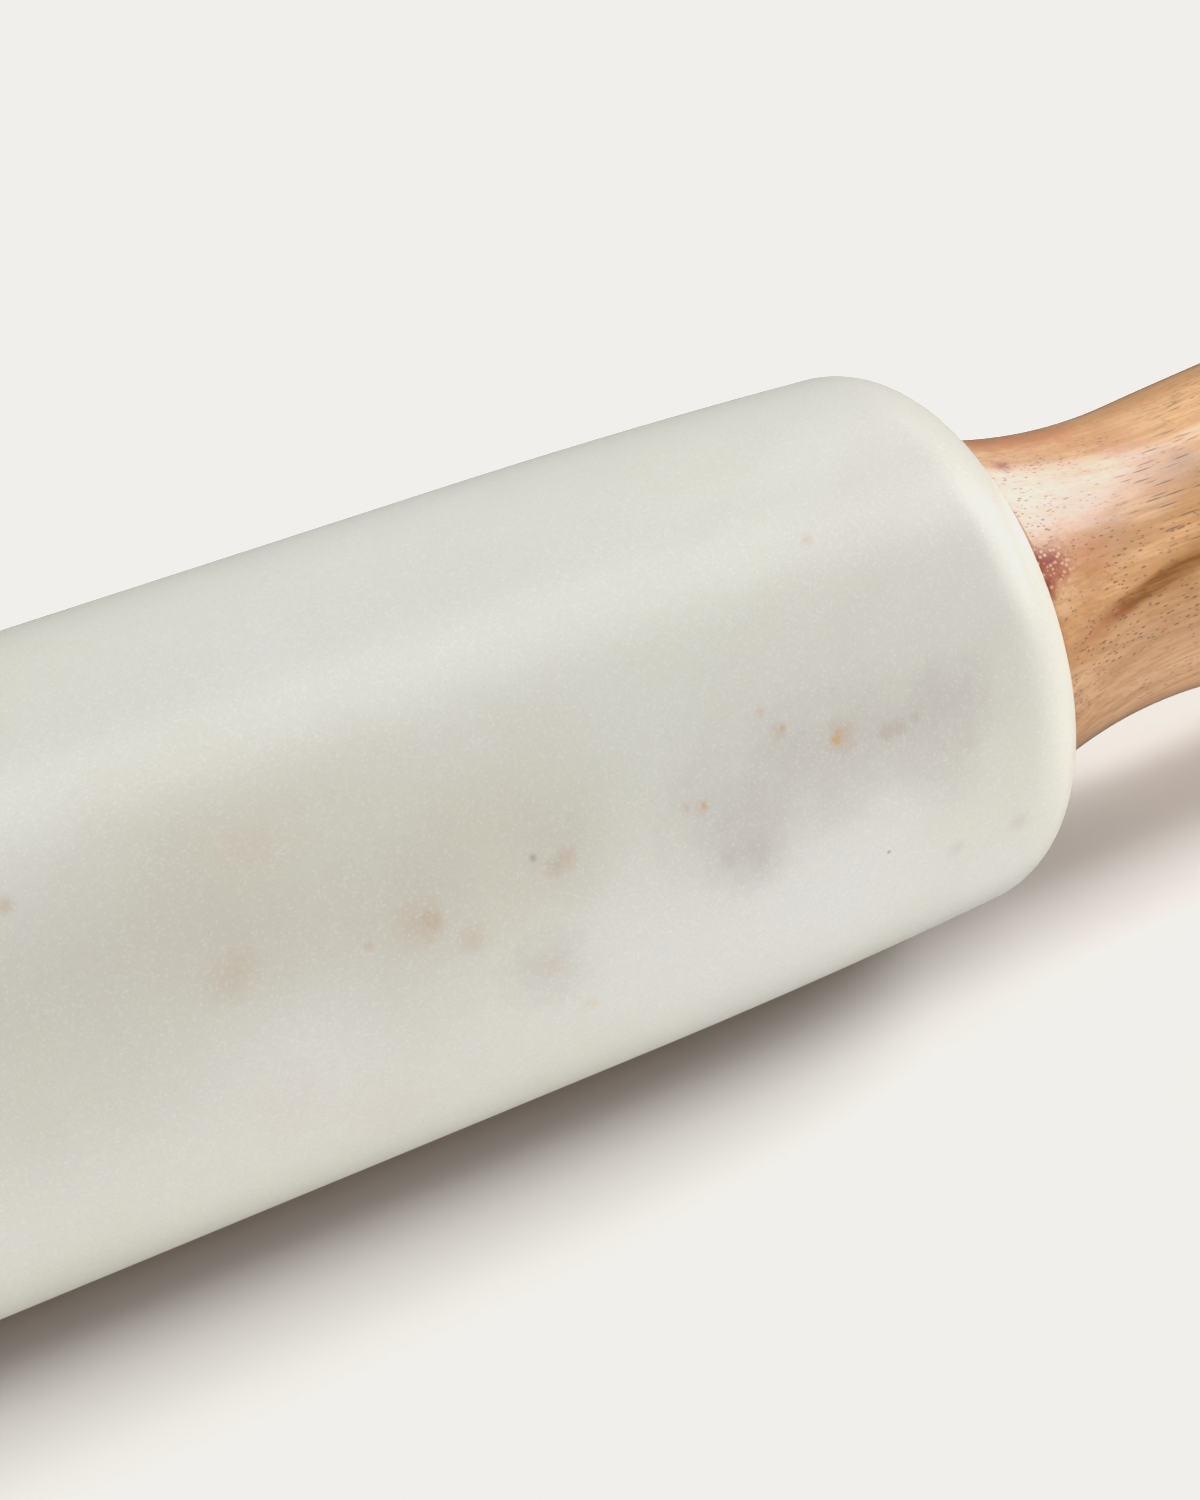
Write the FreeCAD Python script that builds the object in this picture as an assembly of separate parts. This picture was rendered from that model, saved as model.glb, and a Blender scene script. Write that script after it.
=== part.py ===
"""Rolling pin: a honed marble barrel that turns on a steel axle between two turned wooden handles.

The axle lies along X through the origin, the middle of the barrel, with Z up. Lengths are in millimetres.
Each handle is clamped between a shoulder of the axle and a nut that is sunk in the handle's end under a wooden
plug. The barrel turns freely on two flanged bushes that are pressed into the ends of its bore.
"""

import math
import os

import FreeCAD
import Part

# Barrel: a cylinder that eases in before the round at each end
BARREL_LENGTH = 250.0
BARREL_RADIUS = 30.0
BARREL_BORE_RADIUS = 6.5
END_ROUND = 9.0
EASE_LENGTH = 40.0
EASE_DROP = 1.0

# Bushes: a sleeve in the bore, and a flange that is let into the barrel's end
BUSH_LENGTH = 22.0
FLANGE_RADIUS = 10.0
FLANGE_THICKNESS = 2.0
FLANGE_PROUD = 0.5
FLANGE_CLEARANCE = 0.2
BUSH_CHAMFER = 0.5
RUNNING_CLEARANCE = 0.05
END_FLOAT = 0.3

# Axle: a plain journal with thinner, threaded ends
AXLE_RADIUS = 4.0
THREAD_RADIUS = 3.0
THREAD_CLEARANCE = 0.05
THREAD_PAST_NUT = 1.5
AXLE_CHAMFER = 0.6

# Handles: flared at the barrel, waisted, then swelling to a rounded end
HANDLE_GAP = 1.0
HANDLE_LENGTH = 104.0
BASE_RADIUS = 19.6
BASE_EDGE_ROUND = 0.8
WAIST_DEPTH = 3.45
WAIST_PLACE = 19.5
GRIP_SWELL = 3.05
END_CORNER_RADIUS = 12.0
END_DOME_RADIUS = 45.0
AXLE_HOLE_CLEARANCE = 0.25
COUNTERBORE_RADIUS = 8.0
COUNTERBORE_DEPTH = 24.0

# End plugs: wooden buttons that close the counterbores and follow the handles' domes
PLUG_LENGTH = 12.0
PLUG_GLUE_GAP = 0.05
PLUG_CHAMFER = 0.35

# Fasteners on the axle
THRUST_RADIUS = 9.0
THRUST_THICKNESS = 1.6
THRUST_SEAT_CLEARANCE = 0.2
WASHER_RADIUS = 6.0
WASHER_THICKNESS = 1.6
WASHER_CLEARANCE = 0.2
SPRING_WASHER_RADIUS = 5.7
SPRING_WASHER_THICKNESS = 1.6
SPRING_SLIT_WIDTH = 1.2
SPRING_SLIT_SLANT_DEG = 20.0
NUT_ACROSS_FLATS = 10.0
NUT_THICKNESS = 5.0
NUT_CHAMFER_DEG = 30.0
NUT_SIDES = 6

# How far a cutting tool runs past the face that it cuts
OVERRUN = 1.0

# Radii that differ by less than this share are the same radius
SAME = 1e-6

# The handle's other radii follow its base
WAIST_RADIUS = BASE_RADIUS - WAIST_DEPTH
GRIP_RADIUS = WAIST_RADIUS + GRIP_SWELL

# Places along X on the +X side, worked out from the sizes above
BARREL_END = BARREL_LENGTH / 2
FLANGE_FACE = BARREL_END + FLANGE_PROUD
AXLE_SHOULDER = FLANGE_FACE + END_FLOAT
THRUST_SEAT = AXLE_SHOULDER + THRUST_THICKNESS
HANDLE_BASE = BARREL_END + HANDLE_GAP
HANDLE_END = HANDLE_BASE + HANDLE_LENGTH
WASHER_SEAT = HANDLE_END - COUNTERBORE_DEPTH
SPRING_SEAT = WASHER_SEAT + WASHER_THICKNESS
NUT_SEAT = SPRING_SEAT + SPRING_WASHER_THICKNESS
AXLE_END = NUT_SEAT + NUT_THICKNESS + THREAD_PAST_NUT
PLUG_SEAT = HANDLE_END - PLUG_LENGTH

QUARTER_TURN = math.pi / 2
ORIGIN = FreeCAD.Vector(0, 0, 0)
AXIS = FreeCAD.Vector(1, 0, 0)
UP = FreeCAD.Vector(0, 0, 1)


def at(x, radius):
    """A point of an outline: a place along the axle and a distance from it."""
    return FreeCAD.Vector(x, 0, radius)


def line(start, end):
    return Part.LineSegment(at(*start), at(*end)).toShape()


def arc(centre, radius, start, end):
    """An arc of an outline. Angles run from straight up towards +X, and a hollow arc has a negative radius."""
    def point(angle):
        return at(centre[0] + radius * math.sin(angle), centre[1] + radius * math.cos(angle))
    return Part.Arc(point(start), point((start + end) / 2), point(end)).toShape()


def turned(edges):
    """The solid that an outline sweeps as it turns about the axle."""
    return Part.Face(Part.Wire(edges)).revolve(ORIGIN, AXIS, 360)


def rod(radius, start, end):
    """A round bar about the axle, from one place along it to another."""
    return Part.makeCylinder(radius, end - start, FreeCAD.Vector(start, 0, 0), AXIS)


def ring(outer, inner, start, end):
    return rod(outer, start, end).cut(rod(inner, start - OVERRUN, end + OVERRUN))


def rims(shape, radius):
    """The circular edges of a turned shape that have that radius."""
    edges = [edge for edge in shape.Edges if not edge.Degenerated and isinstance(edge.Curve, Part.Circle)]
    return [edge for edge in edges if math.isclose(edge.Curve.Radius, radius, rel_tol=SAME)]


def rim(shape, x, radius):
    """The circular edge at that place along the axle."""
    return min(rims(shape, radius), key=lambda edge: abs(edge.Curve.Center.x - x))


def on_left(shape):
    """The same piece at the other end: the pin is alike when it is turned end for end."""
    other = shape.copy()
    other.rotate(ORIGIN, UP, 180)
    return other


def barrel_half():
    """The +X half of the barrel, before it is bored: cylinder, easing and end round, tangent to each other."""
    ease_radius = (EASE_LENGTH ** 2 + EASE_DROP ** 2) / (2 * EASE_DROP)
    tilt = math.asin(EASE_LENGTH / ease_radius)
    round_x = BARREL_END - END_ROUND
    ease_end_x = round_x + END_ROUND * math.sin(tilt)
    round_height = BARREL_RADIUS - EASE_DROP - END_ROUND * math.cos(tilt)
    ease_start_x = ease_end_x - EASE_LENGTH
    return turned([
        line((0, 0), (0, BARREL_RADIUS)),
        line((0, BARREL_RADIUS), (ease_start_x, BARREL_RADIUS)),
        arc((ease_start_x, BARREL_RADIUS - ease_radius), ease_radius, 0, tilt),
        arc((round_x, round_height), END_ROUND, tilt, QUARTER_TURN),
        line((BARREL_END, round_height), (BARREL_END, 0)),
        line((BARREL_END, 0), (0, 0)),
    ])


def barrel():
    half = barrel_half()
    shape = half.fuse(on_left(half)).removeSplitter()
    flange_seat = rod(FLANGE_RADIUS + FLANGE_CLEARANCE, FLANGE_FACE - FLANGE_THICKNESS, BARREL_END + OVERRUN)
    for seat in (flange_seat, on_left(flange_seat)):
        shape = shape.cut(seat)
    return shape.cut(rod(BARREL_BORE_RADIUS, -BARREL_END - OVERRUN, BARREL_END + OVERRUN))


def bush():
    flange_back = FLANGE_FACE - FLANGE_THICKNESS
    sleeve_end = flange_back - BUSH_LENGTH
    shape = rod(BARREL_BORE_RADIUS, sleeve_end, FLANGE_FACE).fuse(rod(FLANGE_RADIUS, flange_back, FLANGE_FACE))
    shape = shape.makeChamfer(BUSH_CHAMFER, [
        rim(shape, sleeve_end, BARREL_BORE_RADIUS),
        rim(shape, FLANGE_FACE, FLANGE_RADIUS),
    ])
    return shape.cut(rod(AXLE_RADIUS + RUNNING_CLEARANCE, sleeve_end - OVERRUN, FLANGE_FACE + OVERRUN))


def axle():
    shape = rod(AXLE_RADIUS, -AXLE_SHOULDER, AXLE_SHOULDER).fuse(rod(THREAD_RADIUS, -AXLE_END, AXLE_END))
    return shape.makeChamfer(AXLE_CHAMFER, [rim(shape, x, THREAD_RADIUS) for x in (-AXLE_END, AXLE_END)])


def handle_blank():
    """The handle's outside: a hollow neck, a long swelling grip, a corner and a dome, tangent to each other."""
    neck_radius = (WAIST_PLACE ** 2 + WAIST_DEPTH ** 2) / (2 * WAIST_DEPTH)
    neck_start = math.asin(WAIST_PLACE / neck_radius)

    dome_x = HANDLE_LENGTH - END_DOME_RADIUS
    corner_height = GRIP_RADIUS - END_CORNER_RADIUS
    corner_reach = END_DOME_RADIUS - END_CORNER_RADIUS
    corner_x = dome_x + math.sqrt(corner_reach ** 2 - corner_height ** 2)
    corner_turn = math.acos(corner_height / corner_reach)

    # The grip's arc meets the neck's arc and is level where the corner starts.
    grip_run = corner_x - WAIST_PLACE
    both_radii = (grip_run ** 2 + GRIP_SWELL ** 2) / (2 * GRIP_SWELL)
    grip_radius = both_radii - neck_radius
    grip_turn = math.asin(grip_run / both_radii)

    base, end = HANDLE_BASE, HANDLE_END
    shape = turned([
        line((base, 0), (base, BASE_RADIUS)),
        arc((base + WAIST_PLACE, WAIST_RADIUS + neck_radius), -neck_radius, neck_start, -grip_turn),
        arc((base + corner_x, GRIP_RADIUS - grip_radius), grip_radius, -grip_turn, 0),
        arc((base + corner_x, corner_height), END_CORNER_RADIUS, 0, corner_turn),
        arc((base + dome_x, 0), END_DOME_RADIUS, corner_turn, QUARTER_TURN),
        line((end, 0), (base, 0)),
    ])
    return shape.makeFillet(BASE_EDGE_ROUND, [rim(shape, base, BASE_RADIUS)])


def handle():
    shape = handle_blank()
    shape = shape.cut(rod(THRUST_RADIUS + THRUST_SEAT_CLEARANCE, HANDLE_BASE - OVERRUN, THRUST_SEAT))
    shape = shape.cut(rod(THREAD_RADIUS + AXLE_HOLE_CLEARANCE, HANDLE_BASE - OVERRUN, HANDLE_END + OVERRUN))
    return shape.cut(rod(COUNTERBORE_RADIUS, WASHER_SEAT, HANDLE_END + OVERRUN))


def end_plug():
    plug_radius = COUNTERBORE_RADIUS - PLUG_GLUE_GAP
    shape = handle_blank().common(rod(plug_radius, PLUG_SEAT, HANDLE_END + OVERRUN))
    return shape.makeChamfer(PLUG_CHAMFER, rims(shape, plug_radius))


def thrust_washer():
    return ring(THRUST_RADIUS, THREAD_RADIUS + WASHER_CLEARANCE, AXLE_SHOULDER, THRUST_SEAT)


def seat_washer():
    return ring(WASHER_RADIUS, THREAD_RADIUS + WASHER_CLEARANCE, WASHER_SEAT, SPRING_SEAT)


def spring_washer():
    """A split lock washer, pressed flat under the nut, with its slit slanted across the section."""
    shape = ring(SPRING_WASHER_RADIUS, THREAD_RADIUS + WASHER_CLEARANCE, SPRING_SEAT, NUT_SEAT)
    slit_length = NUT_SEAT - SPRING_SEAT + 2 * (SPRING_WASHER_RADIUS + OVERRUN)
    slit = Part.makeBox(slit_length, SPRING_SLIT_WIDTH, SPRING_WASHER_RADIUS + OVERRUN)
    slit.translate(FreeCAD.Vector(-slit_length / 2, -SPRING_SLIT_WIDTH / 2, 0))
    slit.rotate(ORIGIN, UP, SPRING_SLIT_SLANT_DEG)
    slit.translate(FreeCAD.Vector((SPRING_SEAT + NUT_SEAT) / 2, 0, 0))
    return shape.cut(slit)


def nut():
    """A plain hexagon nut whose corners are turned off on both faces."""
    flat_radius = NUT_ACROSS_FLATS / 2
    half_side_angle = math.pi / NUT_SIDES
    corner_radius = flat_radius / math.cos(half_side_angle)
    corners = [
        FreeCAD.Vector(NUT_SEAT, corner_radius * math.sin(angle), corner_radius * math.cos(angle))
        for angle in (2 * half_side_angle * i for i in range(NUT_SIDES + 1))
    ]
    hexagon = Part.Face(Part.makePolygon(corners)).extrude(AXIS * NUT_THICKNESS)
    chamfer_run = (corner_radius - flat_radius) * math.tan(math.radians(NUT_CHAMFER_DEG))
    outer_face = NUT_SEAT + NUT_THICKNESS
    envelope = turned([
        line((NUT_SEAT, 0), (NUT_SEAT, flat_radius)),
        line((NUT_SEAT, flat_radius), (NUT_SEAT + chamfer_run, corner_radius)),
        line((NUT_SEAT + chamfer_run, corner_radius), (outer_face - chamfer_run, corner_radius)),
        line((outer_face - chamfer_run, corner_radius), (outer_face, flat_radius)),
        line((outer_face, flat_radius), (outer_face, 0)),
        line((outer_face, 0), (NUT_SEAT, 0)),
    ])
    hole = rod(THREAD_RADIUS + THREAD_CLEARANCE, NUT_SEAT - OVERRUN, outer_face + OVERRUN)
    return hexagon.common(envelope).cut(hole)


def pieces():
    """Every piece by its node's name."""
    made = {"barrel": barrel(), "axle_rod": axle()}
    right = {
        "bush": bush(),
        "thrust_washer": thrust_washer(),
        "handle": handle(),
        "seat_washer": seat_washer(),
        "spring_washer": spring_washer(),
        "nut": nut(),
        "end_plug": end_plug(),
    }
    for name, shape in right.items():
        made[f"right_{name}"] = shape
        made[f"left_{name}"] = on_left(shape)
    return made


def main():
    os.makedirs("parts", exist_ok=True)
    for name, shape in pieces().items():
        print(name, "solids", len(shape.Solids), "valid", shape.isValid(), "volume", round(shape.Volume, 1))
        shape.exportStep(f"parts/{name}.step")


main()
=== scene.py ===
"""Marble rolling pin: the finish of its stone, wood, steel and nylon, set on a pale studio floor.

Lengths are in metres, in the part's own frame: the axle lies along X through the origin and Z is up.
"""

import math
from typing import NamedTuple

import bpy
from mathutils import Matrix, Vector


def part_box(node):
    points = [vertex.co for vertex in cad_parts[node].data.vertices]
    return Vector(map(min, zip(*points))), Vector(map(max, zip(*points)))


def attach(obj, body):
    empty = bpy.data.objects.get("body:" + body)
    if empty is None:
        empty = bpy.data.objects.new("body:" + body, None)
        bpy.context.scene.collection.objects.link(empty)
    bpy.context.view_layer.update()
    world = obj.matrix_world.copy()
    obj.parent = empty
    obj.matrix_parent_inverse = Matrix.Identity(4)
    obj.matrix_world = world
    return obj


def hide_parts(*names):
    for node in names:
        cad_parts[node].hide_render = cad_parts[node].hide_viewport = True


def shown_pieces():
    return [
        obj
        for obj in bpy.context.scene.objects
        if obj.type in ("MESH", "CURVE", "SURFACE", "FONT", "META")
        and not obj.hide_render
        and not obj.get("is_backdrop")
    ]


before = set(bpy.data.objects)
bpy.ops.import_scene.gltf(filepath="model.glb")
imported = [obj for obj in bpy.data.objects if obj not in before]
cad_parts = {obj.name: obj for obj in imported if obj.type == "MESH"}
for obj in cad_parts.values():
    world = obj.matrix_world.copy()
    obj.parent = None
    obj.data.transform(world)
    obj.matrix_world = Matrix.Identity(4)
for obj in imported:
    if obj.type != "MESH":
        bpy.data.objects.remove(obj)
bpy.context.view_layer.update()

MM = 0.001
QUARTER_TURN = math.pi / 2
HALF_TURN = math.pi

# The photograph's frame, in pixels
PHOTO_WIDTH = 1200
PHOTO_HEIGHT = 1500

# Camera: level, looking down across the pin towards its right end
CAMERA_PLACE = Vector((32.8, -110.1, 160.7)) * MM
CAMERA_HEADING_DEG = 24.74
CAMERA_DIP_DEG = 52.99
CAMERA_LENS_MM = 47.49
CAMERA_SENSOR_MM = 36.0

# Places and radii that the frame gives
BARREL_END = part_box("barrel")[1].x
BARREL_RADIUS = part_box("barrel")[1].z
FLOOR_HEIGHT = -BARREL_RADIUS
FLANGE_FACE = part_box("right_bush")[1].x
THRUST_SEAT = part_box("right_thrust_washer")[1].x
HANDLE_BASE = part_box("right_handle")[0].x
WASHER_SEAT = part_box("right_seat_washer")[0].x
PLUG_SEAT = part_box("right_end_plug")[0].x
PLUG_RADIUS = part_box("right_end_plug")[1].z
HANDLE_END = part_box("right_end_plug")[1].x

# The barrel's other sizes
FLANGE_THICKNESS = 2.0 * MM
FLANGE_SEAT_RADIUS = 10.2 * MM
BARREL_BORE_RADIUS = 6.5 * MM
END_ROUND = 9.0 * MM
EASE_LENGTH = 40.0 * MM
EASE_DROP = 1.0 * MM

# The handle's other sizes
BASE_RADIUS = 19.6 * MM
BASE_EDGE_ROUND = 0.8 * MM
WAIST_DEPTH = 3.45 * MM
WAIST_PLACE = 19.5 * MM
GRIP_SWELL = 3.05 * MM
END_CORNER_RADIUS = 12.0 * MM
END_DOME_RADIUS = 45.0 * MM
AXLE_HOLE_RADIUS = 3.25 * MM
THRUST_SEAT_RADIUS = 9.2 * MM
COUNTERBORE_RADIUS = 8.0 * MM
MOUTH_EASE = 0.25 * MM
PLUG_CHAMFER = 0.35 * MM
POLE_RADIUS = 0.05 * MM

# Fineness of the turned pieces
LATHE_SIDES = 224
ROUND_STEPS = 20
EASE_STEPS = 10
STRAIGHT_STEPS = 16
EDGE_STEPS = 6
NECK_STEPS = 24
GRIP_STEPS = 24
CORNER_STEPS = 14
DOME_STEPS = 8
SHARP_ANGLE_DEG = 30.0
WELD_DISTANCE = 0.0005 * MM


# Outlines of the turned pieces: places along the axle with distances from it

def arc(centre, radius, start, end, steps):
    """Points of an arc, without its first. Angles run from straight up towards +X."""
    turns = [start + (end - start) * i / steps for i in range(1, steps + 1)]
    return [(centre[0] + radius * math.sin(t), centre[1] + radius * math.cos(t)) for t in turns]


def straight(start, end, steps):
    """Points of a straight line, without its first."""
    shares = [i / steps for i in range(1, steps + 1)]
    return [tuple(a + (b - a) * share for a, b in zip(start, end)) for share in shares]


def barrel_outline():
    """From the bore at the left end, over the outside, to the bore at the right end."""
    ease_radius = (EASE_LENGTH ** 2 + EASE_DROP ** 2) / (2 * EASE_DROP)
    tilt = math.asin(EASE_LENGTH / ease_radius)
    round_x = BARREL_END - END_ROUND
    round_height = BARREL_RADIUS - EASE_DROP - END_ROUND * math.cos(tilt)
    ease_start = (round_x + END_ROUND * math.sin(tilt) - EASE_LENGTH, BARREL_RADIUS)
    flange_back = FLANGE_FACE - FLANGE_THICKNESS
    right = straight((0, BARREL_RADIUS), ease_start, STRAIGHT_STEPS)
    right += arc((ease_start[0], BARREL_RADIUS - ease_radius), ease_radius, 0, tilt, EASE_STEPS)
    right += arc((round_x, round_height), END_ROUND, tilt, QUARTER_TURN, ROUND_STEPS)
    right += [
        (BARREL_END, FLANGE_SEAT_RADIUS),
        (flange_back, FLANGE_SEAT_RADIUS),
        (flange_back, BARREL_BORE_RADIUS),
    ]
    left = [(-x, r) for x, r in reversed(right)]
    return left + [(0, BARREL_RADIUS)] + right


def handle_outline():
    """From the axle hole at the base, over the outside, into the counterbore."""
    waist_radius = BASE_RADIUS - WAIST_DEPTH
    grip_radius = waist_radius + GRIP_SWELL
    neck_radius = (WAIST_PLACE ** 2 + WAIST_DEPTH ** 2) / (2 * WAIST_DEPTH)
    neck_centre = (HANDLE_BASE + WAIST_PLACE, waist_radius + neck_radius)
    neck_start_x = BASE_EDGE_ROUND * (neck_radius + WAIST_PLACE) / (neck_radius + BASE_EDGE_ROUND)
    neck_turn = math.asin((WAIST_PLACE - neck_start_x) / neck_radius)
    edge_height = neck_centre[1] - (neck_radius + BASE_EDGE_ROUND) * math.cos(neck_turn)
    edge_centre = (HANDLE_BASE + BASE_EDGE_ROUND, edge_height)

    dome_x = HANDLE_END - END_DOME_RADIUS
    corner_height = grip_radius - END_CORNER_RADIUS
    corner_reach = END_DOME_RADIUS - END_CORNER_RADIUS
    corner_x = dome_x + math.sqrt(corner_reach ** 2 - corner_height ** 2)
    corner_turn = math.acos(corner_height / corner_reach)
    mouth_turn = math.acos((COUNTERBORE_RADIUS + MOUTH_EASE) / END_DOME_RADIUS)

    run = corner_x - neck_centre[0]
    both_radii = (run ** 2 + GRIP_SWELL ** 2) / (2 * GRIP_SWELL)
    swell_radius = both_radii - neck_radius
    swell_turn = math.asin(run / both_radii)

    outline = [
        (THRUST_SEAT, AXLE_HOLE_RADIUS),
        (THRUST_SEAT, THRUST_SEAT_RADIUS),
        (HANDLE_BASE, THRUST_SEAT_RADIUS),
        (HANDLE_BASE, edge_height),
    ]
    outline += arc(edge_centre, BASE_EDGE_ROUND, -QUARTER_TURN, neck_turn, EDGE_STEPS)
    outline += arc(neck_centre, -neck_radius, neck_turn, -swell_turn, NECK_STEPS)
    outline += arc((corner_x, grip_radius - swell_radius), swell_radius, -swell_turn, 0, GRIP_STEPS)
    outline += arc((corner_x, corner_height), END_CORNER_RADIUS, 0, corner_turn, CORNER_STEPS)
    outline += arc((dome_x, 0), END_DOME_RADIUS, corner_turn, mouth_turn, EDGE_STEPS)
    outline += [
        (outline[-1][0] - MOUTH_EASE, COUNTERBORE_RADIUS),
        (WASHER_SEAT, COUNTERBORE_RADIUS),
        (WASHER_SEAT, AXLE_HOLE_RADIUS),
    ]
    return outline


def plug_outline():
    """From the middle of the plug's seat, up its side and over its dome."""
    dome_x = HANDLE_END - END_DOME_RADIUS
    rim_turn = math.acos((PLUG_RADIUS - PLUG_CHAMFER) / END_DOME_RADIUS)
    pole_turn = math.acos(POLE_RADIUS / END_DOME_RADIUS)
    rim_x = dome_x + END_DOME_RADIUS * math.sin(rim_turn)
    outline = [
        (PLUG_SEAT, POLE_RADIUS),
        (PLUG_SEAT, PLUG_RADIUS - PLUG_CHAMFER),
        (PLUG_SEAT + PLUG_CHAMFER, PLUG_RADIUS),
        (rim_x - PLUG_CHAMFER, PLUG_RADIUS),
        (rim_x, PLUG_RADIUS - PLUG_CHAMFER),
    ]
    return outline + arc((dome_x, 0), END_DOME_RADIUS, rim_turn, pole_turn, DOME_STEPS)


# Modelling

def turn_on_lathe(name, outline, bored):
    """A turned piece: a ring is extruded along X, and drawn in or out, from point to point of its outline."""
    bpy.ops.object.select_all(action="DESELECT")
    start_x, start_radius = outline[0]
    bpy.ops.mesh.primitive_circle_add(
        vertices=LATHE_SIDES, radius=start_radius, location=(start_x, 0, 0), rotation=(0, QUARTER_TURN, 0))
    piece = bpy.context.object
    piece.name = piece.data.name = name
    bpy.ops.object.transform_apply(location=True, rotation=True, scale=True)
    bpy.ops.object.mode_set(mode="EDIT")
    bpy.ops.mesh.select_all(action="SELECT")
    for (x, radius), (next_x, next_radius) in zip(outline, outline[1:]):
        bpy.ops.mesh.extrude_region_move(TRANSFORM_OT_translate={"value": (next_x - x, 0, 0)})
        growth = next_radius / radius
        bpy.ops.transform.resize(value=(1, growth, growth), center_override=(next_x, 0, 0))
    bpy.ops.mesh.select_all(action="DESELECT")
    bpy.ops.mesh.select_mode(type="EDGE")
    bpy.ops.mesh.select_non_manifold(
        extend=False, use_wire=False, use_multi_face=False, use_non_contiguous=False)
    if bored:
        bpy.ops.mesh.bridge_edge_loops()
    else:
        bpy.ops.mesh.merge(type="COLLAPSE")
    bpy.ops.mesh.select_all(action="SELECT")
    bpy.ops.mesh.remove_doubles(threshold=WELD_DISTANCE)
    bpy.ops.mesh.normals_make_consistent(inside=False)
    bpy.ops.object.mode_set(mode="OBJECT")
    bpy.ops.object.shade_smooth_by_angle(angle=math.radians(SHARP_ANGLE_DEG))
    return piece


def turned_end_for_end(piece, name):
    """A copy of a piece for the left end, with its own mesh."""
    bpy.ops.object.select_all(action="DESELECT")
    piece.select_set(True)
    bpy.context.view_layer.objects.active = piece
    bpy.ops.object.duplicate(linked=False)
    other = bpy.context.object
    other.name = other.data.name = name
    other.rotation_euler.z = HALF_TURN
    bpy.ops.object.transform_apply(location=True, rotation=True, scale=True)
    return other


# Camera and the photograph's pixels

def camera_look():
    heading = math.radians(CAMERA_HEADING_DEG)
    dip = math.radians(CAMERA_DIP_DEG)
    level = math.cos(dip)
    return Vector((level * math.sin(heading), level * math.cos(heading), -math.sin(dip)))


def clip_whites():
    """Shows what is brighter than the backdrop as the backdrop's own white, as an overexposed floor shows."""
    view = bpy.context.scene.view_settings
    view.view_transform = "Standard"
    view.use_curve_mapping = True
    mapping = view.curve_mapping
    mapping.extend = "HORIZONTAL"
    for curve, white in zip(mapping.curves, BACKDROP_COLOUR):
        curve.points[0].location = (0, 0)
        curve.points[1].location = (1, white)
        curve.points.new(white, white)
        for point in curve.points:
            point.handle_type = "VECTOR"
    mapping.update()


def add_camera():
    data = bpy.data.cameras.new("photo_camera")
    data.lens = CAMERA_LENS_MM
    data.sensor_width = CAMERA_SENSOR_MM
    data.clip_start = MM
    camera = bpy.data.objects.new("photo_camera", data)
    camera.location = CAMERA_PLACE
    camera.rotation_euler = camera_look().to_track_quat("-Z", "Y").to_euler()
    bpy.context.scene.collection.objects.link(camera)
    bpy.context.scene.camera = camera


def place_on(piece, pixel):
    """The point of a piece that shows at a pixel of the photograph."""
    look = camera_look()
    right = look.cross(Vector((0, 0, 1))).normalized()
    up = right.cross(look)
    focal_pixels = CAMERA_LENS_MM / CAMERA_SENSOR_MM * PHOTO_HEIGHT
    across = (pixel[0] - PHOTO_WIDTH / 2) / focal_pixels
    down = (pixel[1] - PHOTO_HEIGHT / 2) / focal_pixels
    found, point, _, _ = piece.ray_cast(CAMERA_PLACE, look + right * across - up * down)
    if not found:
        raise ValueError(f"no point of {piece.name} shows at pixel {pixel}")
    return point


# Shader node helpers

class Pattern(NamedTuple):
    """A noise: its scale per metre, detail, roughness and distortion, and its squash along X."""
    scale: float
    detail: float = 2.0
    roughness: float = 0.5
    distortion: float = 0.0
    squash: float = 1.0


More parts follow.
